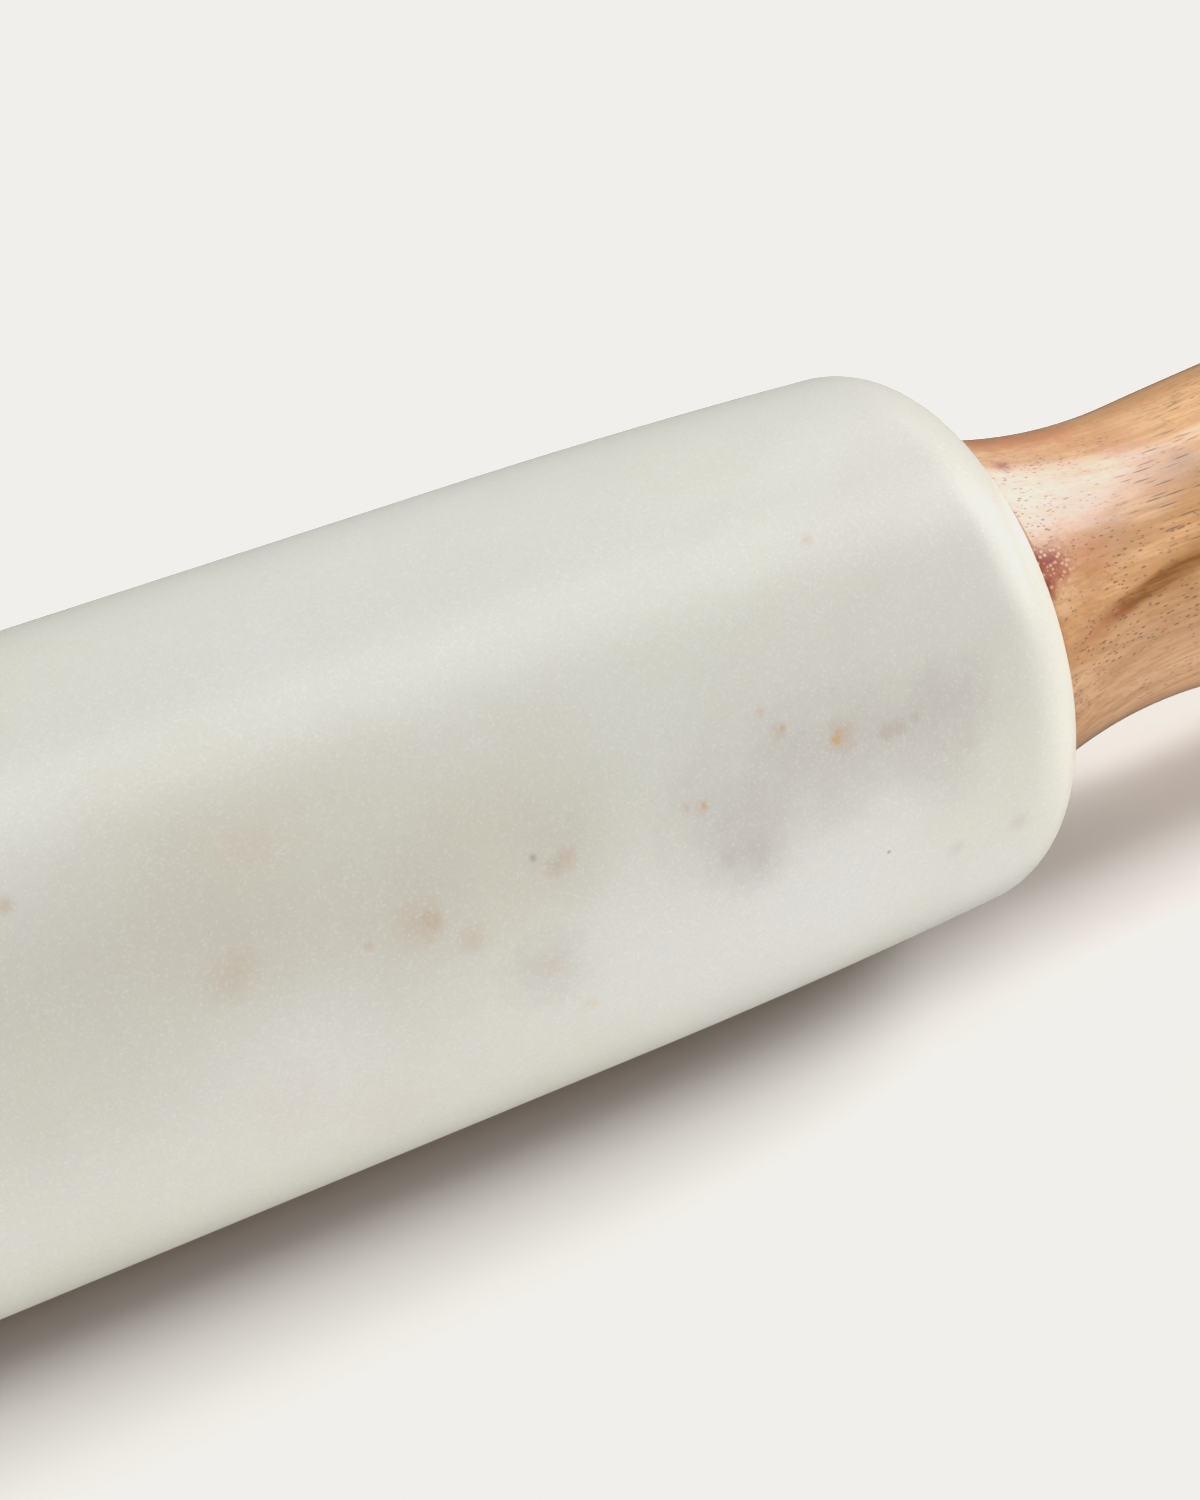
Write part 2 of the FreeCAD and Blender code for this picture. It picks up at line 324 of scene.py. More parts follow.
class Shading:
    """Adds nodes to a tree. An input is given as a value or as the socket that feeds it."""

    def __init__(self, tree):
        self.tree = tree

    def feed(self, socket, value):
        if isinstance(value, bpy.types.NodeSocket):
            self.tree.links.new(value, socket)
        else:
            socket.default_value = value

    def add(self, kind, settings=None, inputs=None):
        node = self.tree.nodes.new(kind)
        for name, value in (settings or {}).items():
            setattr(node, name, value)
        for name, value in (inputs or {}).items():
            self.feed(node.inputs[name], value)
        return node

    def math(self, operation, *values):
        node = self.add("ShaderNodeMath", {"operation": operation}, dict(enumerate(values)))
        return node.outputs[0]

    def vector(self, operation, *values):
        node = self.add("ShaderNodeVectorMath", {"operation": operation})
        sockets = [s for s in node.inputs if s.enabled]
        for socket, value in zip(sockets, values):
            self.feed(socket, value)
        return next(s for s in node.outputs if s.enabled)

    def split(self, vector):
        """The X, Y and Z of a vector."""
        return self.add("ShaderNodeSeparateXYZ", None, {0: vector}).outputs

    def join(self, x, y, z):
        return self.add("ShaderNodeCombineXYZ", None, {0: x, 1: y, 2: z}).outputs[0]

    def red(self, colour):
        """A colour's share of red."""
        return self.add("ShaderNodeSeparateColor", None, {0: colour}).outputs[0]

    def mix(self, share, first, second):
        node = self.add("ShaderNodeMix", {"data_type": "RGBA"})
        self.feed(node.inputs[6], first)
        self.feed(node.inputs[7], second)
        self.feed(node.inputs[0], share)
        return node.outputs[2]

    def tint(self, colour, tint, mask, strength):
        """A colour that moves towards a tint where a mask shows."""
        return self.mix(self.math("MULTIPLY", mask, strength), colour, tint)

    def ramp(self, value, low, high, start=0.0, end=1.0):
        """A smooth step from start to end as the value goes from low to high."""
        settings = {"interpolation_type": "SMOOTHSTEP"}
        inputs = {"Value": value, "From Min": low, "From Max": high, "To Min": start, "To Max": end}
        return self.add("ShaderNodeMapRange", settings, inputs).outputs[0]

    def ramp_line(self, value, low, high):
        """A straight line from 0 to 1 as the value goes from low to high, held at both ends."""
        inputs = {"Value": value, "From Min": low, "From Max": high}
        return self.add("ShaderNodeMapRange", None, inputs).outputs[0]

    def noise(self, position, pattern):
        """A noise from 0 to 1."""
        if pattern.squash != 1.0:
            stretch = {"Vector": position, "Scale": (pattern.squash, 1.0, 1.0)}
            position = self.add("ShaderNodeMapping", None, stretch).outputs[0]
        node = self.add("ShaderNodeTexNoise", None, {
            "Vector": position,
            "Scale": pattern.scale,
            "Detail": pattern.detail,
            "Roughness": pattern.roughness,
            "Distortion": pattern.distortion,
        })
        return node.outputs[0]

    def wander(self, position, pattern):
        """A noise about zero."""
        return self.math("SUBTRACT", self.noise(position, pattern), 0.5)

    def cells(self, position, scale):
        """Random cells: each point's distance from its cell's middle, and its cell's colour."""
        return self.add("ShaderNodeTexVoronoi", None, {"Vector": position, "Scale": scale}).outputs

    def group(self, tree, **inputs):
        node = self.tree.nodes.new("ShaderNodeGroup")
        node.node_tree = tree
        for name, value in inputs.items():
            self.feed(node.inputs[name], value)
        return node.outputs[0]

    def bump(self, shader, height, strength, distance, invert=False):
        inputs = {"Height": height, "Strength": strength, "Distance": distance}
        node = self.add("ShaderNodeBump", {"invert": invert}, inputs)
        self.feed(shader.inputs["Normal"], node.outputs[0])


def new_group(name, inputs, output):
    """An empty shader node group: the group, its helper, its inputs by name, and its output."""
    tree = bpy.data.node_groups.new(name, "ShaderNodeTree")
    for label, kind in inputs.items():
        tree.interface.new_socket(label, in_out="INPUT", socket_type=kind)
    tree.interface.new_socket(output, in_out="OUTPUT", socket_type="NodeSocketFloat")
    start = tree.nodes.new("NodeGroupInput")
    end = tree.nodes.new("NodeGroupOutput")
    return tree, Shading(tree), start.outputs, end.inputs[0]


SPOT_EDGE = Pattern(2.2, 5.0, 0.7)


def soft_spot_group():
    """A ragged patch that fades out at a radius from a centre."""
    inputs = {
        "Position": "NodeSocketVector",
        "Centre": "NodeSocketVector",
        "Radius": "NodeSocketFloat",
        "Raggedness": "NodeSocketFloat",
    }
    tree, s, given, mask = new_group("soft_spot", inputs, "Mask")
    offset = s.vector("SUBTRACT", given["Position"], given["Centre"])
    spread = s.math("DIVIDE", 1.0, given["Radius"])
    scaled = s.add("ShaderNodeVectorMath", {"operation": "SCALE"}, {0: offset, "Scale": spread})
    local = scaled.outputs[0]
    edge = s.wander(local, SPOT_EDGE)
    reach = s.math("MULTIPLY_ADD", edge, given["Raggedness"], s.vector("LENGTH", local))
    s.feed(mask, s.ramp(reach, 0.0, 1.0, 1.0, 0.0))
    return tree


# What the photograph shows: a stretch of the pin, on the side that faces the camera
VIEW_LEFT_EDGE = 12 * MM
VIEW_RIGHT_EDGE = 160 * MM
VIEW_FADE = 10 * MM
VIEW_LEAST_FACING = 0.3


def out_of_view_group():
    """What the photograph doesn't show: the far side, and what its frame cuts off."""
    tree, s, given, mask = new_group("out_of_view", {"Position": "NodeSocketVector"}, "Mask")
    along = s.split(given["Position"])[0]
    spoke = s.vector("NORMALIZE", s.vector("MULTIPLY", given["Position"], (0, 1, 1)))
    camera_side = Vector((0, CAMERA_PLACE.y, CAMERA_PLACE.z)).normalized()
    facing = s.vector("DOT_PRODUCT", spoke, camera_side)
    far_side = s.ramp(facing, 0.0, VIEW_LEAST_FACING, 1.0, 0.0)
    left = s.ramp(along, VIEW_LEFT_EDGE - VIEW_FADE, VIEW_LEFT_EDGE, 1.0, 0.0)
    right = s.ramp(along, VIEW_RIGHT_EDGE, VIEW_RIGHT_EDGE + VIEW_FADE)
    s.feed(mask, s.math("MAXIMUM", far_side, s.math("MAXIMUM", left, right)))
    return tree


def new_material(name):
    """A material with a Principled shader: its helper, the shader, and Object coordinates."""
    material = bpy.data.materials.new(name)
    material.use_nodes = True
    tree = material.node_tree
    shader = next(n for n in tree.nodes if n.type == "BSDF_PRINCIPLED")
    s = Shading(tree)
    position = s.add("ShaderNodeTexCoord").outputs["Object"]
    return material, s, shader, position


class Spot(NamedTuple):
    """A place on a piece, given by the photograph's pixel that shows it, and its size."""
    pixel: tuple
    radius: float
    raggedness: float = 0.9


class Stain(NamedTuple):
    """A spot with a tint."""
    pixel: tuple
    radius: float
    tint: tuple
    strength: float
    raggedness: float = 0.9


def spot_mask(s, spot, piece, soft_spot, position):
    """A ragged patch on a piece, where the spot's pixel shows it."""
    return s.group(
        soft_spot,
        Position=position,
        Centre=place_on(piece, spot.pixel),
        Radius=spot.radius,
        Raggedness=spot.raggedness,
    )


def stained(s, colour, stains, piece, soft_spot, position):
    """A colour with each stain laid over it."""
    for stain in stains.values():
        mask = spot_mask(s, stain, piece, soft_spot, position)
        colour = s.tint(colour, stain.tint, mask, stain.strength)
    return colour


# Marble

HONED_WHITE = (0.705, 0.699, 0.625, 1.0)
COOL_WHITE = (0.725, 0.718, 0.698, 1.0)
WARM_GREY = (0.610, 0.575, 0.505, 1.0)
GOLD = (0.640, 0.400, 0.160, 1.0)
TAN = (0.560, 0.400, 0.270, 1.0)
BROWN = (0.400, 0.262, 0.192, 1.0)
PINK = (0.640, 0.500, 0.420, 1.0)
SMOKE = (0.470, 0.435, 0.400, 1.0)
OLIVE = (0.650, 0.620, 0.515, 1.0)
MAUVE = (0.520, 0.480, 0.450, 1.0)
# Painted glow: the cream of light seen through the stone at its rounded ends
PAINTED_RIM_GLOW = (0.860, 0.800, 0.670, 1.0)
# Pale crystal grains, which also stand in for a painted sparkle
PALE_CRYSTAL_AND_PAINTED_SPARKLE = (0.900, 0.900, 0.870, 1.0)

# Drifts of tone across the stone, and its mineral flecks, where the photograph shows them
DRIFTS = {
    "cool at lower end": Stain((985, 884), 9.0 * MM, COOL_WHITE, 0.90, 0.6),
    "olive left": Stain((235, 870), 20 * MM, OLIVE, 0.70, 0.9),
    "olive middle": Stain((480, 840), 18 * MM, OLIVE, 0.60, 0.9),
    "warm left": Stain((90, 985), 22 * MM, WARM_GREY, 0.45, 0.8),
    "warm low": Stain((390, 985), 14 * MM, WARM_GREY, 0.45, 1.0),
    "white lower right": Stain((830, 905), 22 * MM, COOL_WHITE, 0.85, 0.6),
    "white lower middle": Stain((640, 960), 15 * MM, COOL_WHITE, 0.70, 0.8),
    "white low left": Stain((313, 1050), 9 * MM, COOL_WHITE, 0.60, 1.0),
    "white bottom left": Stain((330, 1110), 20 * MM, COOL_WHITE, 0.35, 0.9),
    "white top left": Stain((250, 660), 9 * MM, COOL_WHITE, 0.45, 1.2),
    "warm at tan flecks": Stain((250, 950), 9 * MM, WARM_GREY, 0.35, 1.1),
    "warm at orange fleck": Stain((425, 895), 9 * MM, WARM_GREY, 0.40, 1.1),
    "warm at brown flecks": Stain((560, 850), 8 * MM, WARM_GREY, 0.50, 1.1),
    "mauve below brown": Stain((550, 972), 6 * MM, MAUVE, 0.35, 1.3),
    "mauve between": Stain((735, 820), 10 * MM, MAUVE, 0.40, 1.1),
    "mauve at smudges": Stain((752, 852), 6 * MM, MAUVE, 0.35, 1.3),
    "mauve at gold fleck": Stain((820, 760), 10 * MM, MAUVE, 0.45, 1.0),
    "mauve right of gold": Stain((900, 735), 8 * MM, MAUVE, 0.42, 1.1),
    "mauve right": Stain((955, 705), 7 * MM, MAUVE, 0.45, 1.1),
    "grey right": Stain((951, 776), 5 * MM, SMOKE, 0.25, 1.2),
    "pink low left": Stain((291, 1106), 7 * MM, PINK, 0.14, 1.2),
    "pink low": Stain((385, 1111), 8 * MM, PINK, 0.14, 1.2),
    "pink left": Stain((250, 842), 4 * MM, PINK, 0.14, 1.4),
}
FLECKS = {
    "gold halo": Stain((842, 736), 2.4 * MM, TAN, 0.40, 1.3),
    "gold": Stain((836, 740), 0.75 * MM, GOLD, 0.95),
    "gold tail": Stain((839, 733), 0.55 * MM, GOLD, 0.60),
    "brown streak low": Stain((886, 733), 1.2 * MM, BROWN, 0.30, 1.5),
    "brown streak middle": Stain((899, 727), 1.3 * MM, BROWN, 0.25, 1.5),
    "brown streak high": Stain((915, 717), 0.7 * MM, BROWN, 0.30, 1.4),
    "small orange": Stain((783, 728), 0.45 * MM, GOLD, 0.60),
    "small orange halo": Stain((779, 731), 1.2 * MM, TAN, 0.35, 1.3),
    "tan high": Stain((761, 713), 0.7 * MM, TAN, 0.40),
    "gold lower": Stain((704, 806), 0.55 * MM, GOLD, 0.70),
    "gold lower halo": Stain((701, 808), 1.1 * MM, TAN, 0.30, 1.3),
    "tan lower": Stain((686, 808), 0.7 * MM, TAN, 0.35),
    "brown pair right": Stain((567, 858), 1.5 * MM, TAN, 0.42, 1.4),
    "brown pair low": Stain((555, 868), 1.4 * MM, BROWN, 0.24, 1.5),
    "brown pair dot": Stain((533, 858), 0.55 * MM, BROWN, 0.60),
    "orange": Stain((433, 921), 1.4 * MM, TAN, 0.50, 1.3),
    "orange halo": Stain((420, 924), 3.2 * MM, TAN, 0.30, 1.4),
    "orange beside": Stain((473, 940), 1.9 * MM, TAN, 0.28, 1.5),
    "tan dot": Stain((369, 947), 0.7 * MM, TAN, 0.35),
    "diffuse tan low": Stain((231, 982), 2.8 * MM, TAN, 0.19, 1.3),
    "diffuse tan high": Stain((243, 963), 2.2 * MM, TAN, 0.16, 1.3),
    "pink high": Stain((806, 540), 1.0 * MM, PINK, 0.60, 1.3),
    "smudge left": Stain((728, 859), 1.5 * MM, SMOKE, 0.30, 1.5),
    "smudge right": Stain((760, 853), 2.2 * MM, SMOKE, 0.22, 1.5),
    "dark dot": Stain((889, 852), 0.32 * MM, BROWN, 0.95, 0.4),
    "pink lower": Stain((553, 964), 2.0 * MM, PINK, 0.30, 1.4),
    "yellow low": Stain((591, 1004), 1.2 * MM, GOLD, 0.20, 1.4),
    "orange at edge": Stain((5, 905), 1.2 * MM, TAN, 0.45),
    "smoke right": Stain((1019, 822), 1.7 * MM, SMOKE, 0.30, 1.5),
    "smoke right low": Stain((957, 848), 1.5 * MM, SMOKE, 0.28, 1.5),
}
# A painted glow near each end of the barrel: light through the stone's rim, painted in as cream
PAINTED_GLOW_START = 116.5 * MM
PAINTED_GLOW_FULL = 123.5 * MM
PAINTED_GLOW_STRENGTH = 0.4
CRYSTAL_SCALE = 5000.0
CLOUDS = Pattern(28.0, 5.0, 0.55, 0.6)
BANDS = Pattern(14.0, 4.0, 0.6, 1.2)
UNSEEN_DRIFTS = Pattern(22.0, 4.0, 0.6, 1.0)
UNSEEN_PALE_DRIFTS = Pattern(31.0, 4.0, 0.6, 0.8)
UNSEEN_FLECK_SCALE = 62.0
FLECK_EDGE = Pattern(700.0, 4.0, 0.7)
FLECK_EDGE_DEPTH = 0.11
STONE_GRAIN = Pattern(900.0, 3.0, 0.6)


def unseen_marble(s, colour, position, unseen):
    """Drifts and flecks in the stone that the photograph doesn't show."""
    drifts = s.ramp(s.noise(position, UNSEEN_DRIFTS), 0.48, 0.70)
    colour = s.tint(colour, MAUVE, s.math("MULTIPLY", drifts, unseen), 0.60)
    pale_drifts = s.ramp(s.noise(position, UNSEEN_PALE_DRIFTS), 0.50, 0.72)
    colour = s.tint(colour, COOL_WHITE, s.math("MULTIPLY", pale_drifts, unseen), 0.70)
    seeds = s.cells(position, UNSEEN_FLECK_SCALE)
    edge = s.wander(position, FLECK_EDGE)
    reach = s.math("MULTIPLY_ADD", edge, FLECK_EDGE_DEPTH, seeds["Distance"])
    halo = s.ramp(reach, 0.05, 0.28, 1.0, 0.0)
    colour = s.tint(colour, TAN, s.math("MULTIPLY", halo, unseen), 0.35)
    fleck = s.ramp(reach, 0.03, 0.09, 1.0, 0.0)
    mineral = s.mix(s.ramp(s.red(seeds["Color"]), 0.3, 0.7), GOLD, BROWN)
    return s.tint(colour, mineral, s.math("MULTIPLY", fleck, unseen), 0.55)


def marble_material(barrel, soft_spot, out_of_view):
    material, s, shader, position = new_material("honed_marble")
    clouds = s.ramp(s.noise(position, CLOUDS), 0.35, 0.72)
    colour = s.tint(HONED_WHITE, COOL_WHITE, clouds, 0.45)
    bands = s.ramp(s.noise(position, BANDS), 0.45, 0.75)
    colour = s.tint(colour, WARM_GREY, bands, 0.35)
    colour = stained(s, colour, DRIFTS, barrel, soft_spot, position)
    colour = stained(s, colour, FLECKS, barrel, soft_spot, position)
    colour = unseen_marble(s, colour, position, s.group(out_of_view, Position=position))
    along = s.math("ABSOLUTE", s.split(position)[0])
    # Painted glow: the colour turns cream towards each end, as light through the rim would make it
    colour = s.tint(colour, PAINTED_RIM_GLOW, s.ramp(along, PAINTED_GLOW_START, PAINTED_GLOW_FULL), PAINTED_GLOW_STRENGTH)
    crystal = s.red(s.cells(position, CRYSTAL_SCALE)["Color"])
    colour = s.tint(colour, SMOKE, s.ramp(crystal, 0.0, 0.5, 1.0, 0.0), 0.07)
    # A quarter of the cells are lightened: partly pale crystal grain, partly a painted sparkle
    colour = s.tint(colour, PALE_CRYSTAL_AND_PAINTED_SPARKLE, s.ramp(crystal, 0.75, 1.0), 0.18)
    s.feed(shader.inputs["Base Color"], colour)
    s.feed(shader.inputs["Roughness"], s.ramp(crystal, 0.0, 1.0, 0.33, 0.29))
    s.feed(shader.inputs["Subsurface Weight"], 0.6)
    s.feed(shader.inputs["Subsurface Radius"], (1.0, 0.95, 0.8))
    s.feed(shader.inputs["Subsurface Scale"], 3.0 * MM)
    s.bump(shader, s.noise(position, STONE_GRAIN), 0.04, 0.05 * MM)
    return material


# Acacia

HONEY = (0.560, 0.300, 0.130, 1.0)
BRIGHT_HONEY = (0.700, 0.410, 0.205, 1.0)
PALE_TAN = (0.640, 0.400, 0.225, 1.0)
AMBER = (0.420, 0.205, 0.075, 1.0)
RED_BROWN = (0.330, 0.105, 0.050, 1.0)
RUSSET = (0.470, 0.165, 0.075, 1.0)
DARK_RED = (0.250, 0.036, 0.020, 1.0)
DARK_VEIN = (0.245, 0.088, 0.013, 1.0)
ROSE = (0.365, 0.235, 0.172, 1.0)
PORE = (0.130, 0.080, 0.055, 1.0)
PORE_LACQUER = (0.620, 0.360, 0.260, 1.0)

# Tones of the wood near the barrel, where the photograph shows them
HEARTWOOD = {
    "rose in highlight": Stain((1075, 495), 11.0 * MM, ROSE, 0.85, 0.9),
    "pale at top right": Stain((1166, 424), 6.0 * MM, PALE_TAN, 0.60, 1.0),
    "pale at right": Stain((1152, 512), 5.0 * MM, PALE_TAN, 0.90, 1.0),
    "grey at right": Stain((1184, 462), 4.0 * MM, ROSE, 0.80, 1.2),
    "rose at right": Stain((1142, 466), 7.0 * MM, ROSE, 0.70, 0.9),
    "rose beside barrel": Stain((1012, 495), 8.0 * MM, ROSE, 0.85, 0.9),
    "amber under vein": Stain((1186, 581), 3.5 * MM, AMBER, 0.65, 1.4),
    "pale beside red": Stain((1063, 592), 3.0 * MM, PALE_TAN, 0.65, 1.2),
    "pale over vein start": Stain((1120, 585), 4.0 * MM, BRIGHT_HONEY, 0.80, 1.2),
    "pale over vein": Stain((1152, 560), 4.0 * MM, BRIGHT_HONEY, 0.85, 1.2),
    "pale over vein end": Stain((1184, 534), 4.5 * MM, BRIGHT_HONEY, 0.95, 1.2),
    "red at top": Stain((984, 444), 5.0 * MM, RUSSET, 0.85, 1.7),
    "red on top": Stain((1018, 440), 5.0 * MM, RUSSET, 0.80, 1.7),
    "red along top": Stain((1052, 434), 5.5 * MM, RUSSET, 0.80, 1.7),
    "amber along top": Stain((1120, 405), 9.0 * MM, AMBER, 0.35, 1.5),
    "red below top": Stain((1108, 436), 5.0 * MM, RED_BROWN, 0.35, 1.5),
    "red beside": Stain((1085, 550), 5.5 * MM, RUSSET, 0.60, 1.7),
}
# The red patch, which covers the wood's streaks
RED_PATCH = {
    "streak at top": Stain((1003, 467), 1.6 * MM, DARK_RED, 0.75, 1.7),
    "beside barrel": Stain((1048, 562), 4.1 * MM, DARK_RED, 0.95, 1.2),
    "at barrel": Stain((1045, 588), 2.4 * MM, DARK_RED, 0.90, 1.2),
}
RED_DOTS = Spot((1052, 573), 5.4 * MM, 0.6)

# The wood's figure
FIGURE = Pattern(170.0, 5.0, 0.6, 0.9, squash=0.10)
LAYERS = Pattern(75.0, 3.0, 0.5, 0.5, squash=0.05)
STREAKS = Pattern(620.0, 4.0, 0.65, squash=0.05)
FIBRE = Pattern(1900.0, 3.0, 0.6, squash=0.04)
UNSEEN_HEARTWOOD = Pattern(95.0, 3.0, 0.55, 0.6, squash=0.07)

# Growth rings
TREE_MIDDLE = (0.0, -36 * MM, -24 * MM)
RING_SPACING = 3.2 * MM
RING_WANDER = 8.0 * MM
RING_PATH = Pattern(90.0, 4.0, 0.55, squash=0.08)
RING_FADING = Pattern(140.0, squash=0.10)

# The dark vein, through three places on the handle
VEIN_PIXELS = ((1084, 640), (1148, 590), (1196, 556))
VEIN_RED_START = Spot(VEIN_PIXELS[0], 9.0 * MM, 0.5)
VEIN_WAVE = Pattern(260.0, 3.0, 0.55, squash=0.25)
VEIN_WAVE_HEIGHT = 1.4 * MM
VEIN_STRANDS = Pattern(1700.0, 3.0, 0.6, squash=0.05)

# Pores: their length and spacing, and their width as a share of the spacing
SHORT_PORES = {"Length": 1.5 * MM, "Spacing": 0.50 * MM, "Width": 0.29}
FINE_PORES = {"Length": 1.1 * MM, "Spacing": 0.44 * MM, "Width": 0.26}
LONG_PORES = {"Length": 6.0 * MM, "Spacing": 0.36 * MM, "Width": 0.32}
FILLED_PORES = {"Length": 0.70 * MM, "Spacing": 0.50 * MM, "Width": 0.46}
PORE_CORE = 0.40
PORE_SHIFT = (0.013, 0.007, 0.011)
PORE_CLUSTERS = Pattern(230.0, squash=0.3)
LONG_PORE_CLUSTERS = Pattern(160.0, squash=0.3)
LONG_PORES_START = 136 * MM
LONG_PORES_FULL = 143 * MM
LONG_PORES_PATCH = Spot((1168, 478), 10.0 * MM, 0.6)


def pore_group():
    """Pores that run along X, cut by the surface."""
    inputs = {
        "Position": "NodeSocketVector",
        "Length": "NodeSocketFloat",
        "Spacing": "NodeSocketFloat",
        "Width": "NodeSocketFloat",
    }
    tree, s, given, mask = new_group("wood_pores", inputs, "Mask")
    x, y, z = s.split(given["Position"])
    stretched = s.join(
        s.math("DIVIDE", x, given["Length"]),
        s.math("DIVIDE", y, given["Spacing"]),
        s.math("DIVIDE", z, given["Spacing"]),
    )
    distance = s.cells(stretched, 1.0)["Distance"]
    reach = s.math("DIVIDE", distance, given["Width"])
    s.feed(mask, s.ramp(reach, PORE_CORE, 1.0, 1.0, 0.0))
    return tree


def open_pore_mask(s, handle, soft_spot, pores, position):
    """Short pores in clusters, and long ones further along the handle."""
    elsewhere = s.vector("ADD", position, PORE_SHIFT)
    short = s.group(pores, Position=position, **SHORT_PORES)
    fine = s.group(pores, Position=elsewhere, **FINE_PORES)
    clusters = s.ramp(s.noise(position, PORE_CLUSTERS), 0.36, 0.58, 0.20, 1.0)
    dashes = s.math("MULTIPLY", s.math("MAXIMUM", short, fine), clusters)
    along = s.math("ABSOLUTE", s.split(position)[0])
    long = s.group(pores, Position=position, **LONG_PORES)
    long = s.math("MULTIPLY", long, s.ramp(along, LONG_PORES_START, LONG_PORES_FULL))
    long_clusters = s.ramp(s.noise(elsewhere, LONG_PORE_CLUSTERS), 0.45, 0.60)
    long_patch = s.ramp(spot_mask(s, LONG_PORES_PATCH, handle, soft_spot, position), 0.0, 0.4)
    long = s.math("MULTIPLY", long, s.math("MAXIMUM", long_clusters, long_patch))
    return s.math("MAXIMUM", dashes, long)


def growth_rings(s, position):
    """Late wood of the growth rings, which darkens up to a sharp edge: arcs about the tree's middle."""
    across = s.vector("MULTIPLY", position, (0, 1, 1))
    distance = s.vector("DISTANCE", across, TREE_MIDDLE)
    radius = s.math("MULTIPLY_ADD", s.wander(position, RING_PATH), RING_WANDER, distance)
    age = s.math("FRACT", s.math("DIVIDE", radius, RING_SPACING))
    fading = s.ramp(s.noise(position, RING_FADING), 0.35, 0.65, 0.25, 1.0)
    return s.math("MULTIPLY", s.ramp(age, 0.50, 0.95), fading)


def vein_masks(s, position, start, middle, end):
    """A bowed and wavy layer through three points of the surface: its core and its halo."""
    x, y, _ = s.split(position)
    across = Vector((0, start.z - end.z, end.y - start.y)).normalized()
    share = (middle.x - start.x) / (end.x - start.x)
    bow = (middle - start).dot(across) / (share * (1 - share))
    along = s.ramp_line(x, start.x, end.x)
    arch = s.math("MULTIPLY", along, s.math("SUBTRACT", 1.0, along))
    height = s.vector("DOT_PRODUCT", s.vector("SUBTRACT", position, start), across)
    depth = s.math("MULTIPLY_ADD", arch, -bow, height)
    wave = s.wander(position, VEIN_WAVE)
    depth = s.math("ABSOLUTE", s.math("MULTIPLY_ADD", wave, VEIN_WAVE_HEIGHT, depth))
    begins = s.ramp(x, start.x - 3.0 * MM, start.x + 6.0 * MM)
    near_side = s.ramp(y, end.y + 3.0 * MM, end.y + 7.0 * MM, 1.0, 0.0)
    bounds = s.math("MULTIPLY", begins, near_side)
    strands = s.ramp(s.noise(position, VEIN_STRANDS), 0.34, 0.60, 0.45, 1.0)
    core = s.math("MULTIPLY", s.ramp(depth, 0.3 * MM, 0.8 * MM, 1.0, 0.0), strands)
    halo = s.ramp(depth, 0.2 * MM, 1.3 * MM, 1.0, 0.0)
    return s.math("MULTIPLY", core, bounds), s.math("MULTIPLY", halo, bounds)


def veined(s, colour, handle, soft_spot, position):
    """A colour with the dark vein laid over it, redder at its start."""
    places = [place_on(handle, pixel) for pixel in VEIN_PIXELS]
    core, halo = vein_masks(s, position, *places)
    colour = s.tint(colour, AMBER, halo, 0.70)
    red_start = spot_mask(s, VEIN_RED_START, handle, soft_spot, position)
    return s.mix(core, colour, s.mix(red_start, DARK_VEIN, RUSSET))


def acacia_material(handle, soft_spot, out_of_view, pores):
    material, s, shader, position = new_material("lacquered_acacia")
    figure = s.noise(position, FIGURE)
    colour = s.mix(s.ramp(figure, 0.32, 0.68), HONEY, PALE_TAN)
    colour = s.tint(colour, AMBER, s.ramp(s.noise(position, LAYERS), 0.56, 0.72), 0.55)
    colour = stained(s, colour, HEARTWOOD, handle, soft_spot, position)
    unseen = s.group(out_of_view, Position=position)
    heartwood = s.ramp(s.noise(position, UNSEEN_HEARTWOOD), 0.54, 0.70)
    colour = s.tint(colour, RED_BROWN, s.math("MULTIPLY", heartwood, unseen), 0.65)
    rings = s.math("MULTIPLY", growth_rings(s, position), unseen)
    colour = s.tint(colour, DARK_VEIN, rings, 0.50)
    colour = s.tint(colour, AMBER, s.ramp(s.noise(position, STREAKS), 0.46, 0.68), 0.50)
    colour = s.tint(colour, AMBER, s.ramp(s.noise(position, FIBRE), 0.43, 0.66), 0.50)
    colour = stained(s, colour, RED_PATCH, handle, soft_spot, position)
    colour = veined(s, colour, handle, soft_spot, position)
    open_pores = open_pore_mask(s, handle, soft_spot, pores, position)
    colour = s.tint(colour, PORE, open_pores, 0.75)
    filled = s.group(pores, Position=position, **FILLED_PORES)
    red_dots = s.ramp(spot_mask(s, RED_DOTS, handle, soft_spot, position), 0.25, 0.50)
    colour = s.tint(colour, PORE_LACQUER, s.math("MULTIPLY", filled, red_dots), 0.90)
    s.feed(shader.inputs["Base Color"], colour)
    s.feed(shader.inputs["Roughness"], s.ramp(figure, 0.0, 1.0, 0.40, 0.52))
    s.feed(shader.inputs["Coat Weight"], s.math("MULTIPLY_ADD", open_pores, -0.8, 1.0))
    s.feed(shader.inputs["Coat Roughness"], 0.12)
    s.bump(shader, open_pores, 0.25, 0.04 * MM, invert=True)
    return material


# Hidden hardware

GROUND_STEEL = (0.62, 0.62, 0.63, 1.0)
ZINC = (0.68, 0.67, 0.63, 1.0)
NYLON_DARK = (0.78, 0.76, 0.69, 1.0)
NYLON_PALE = (0.86, 0.85, 0.80, 1.0)
NYLON_MOTTLE = Pattern(700.0, 4.0, 0.6)
STREAK_DARKENING = 0.8
STREAK_ROUGHENING = 0.06


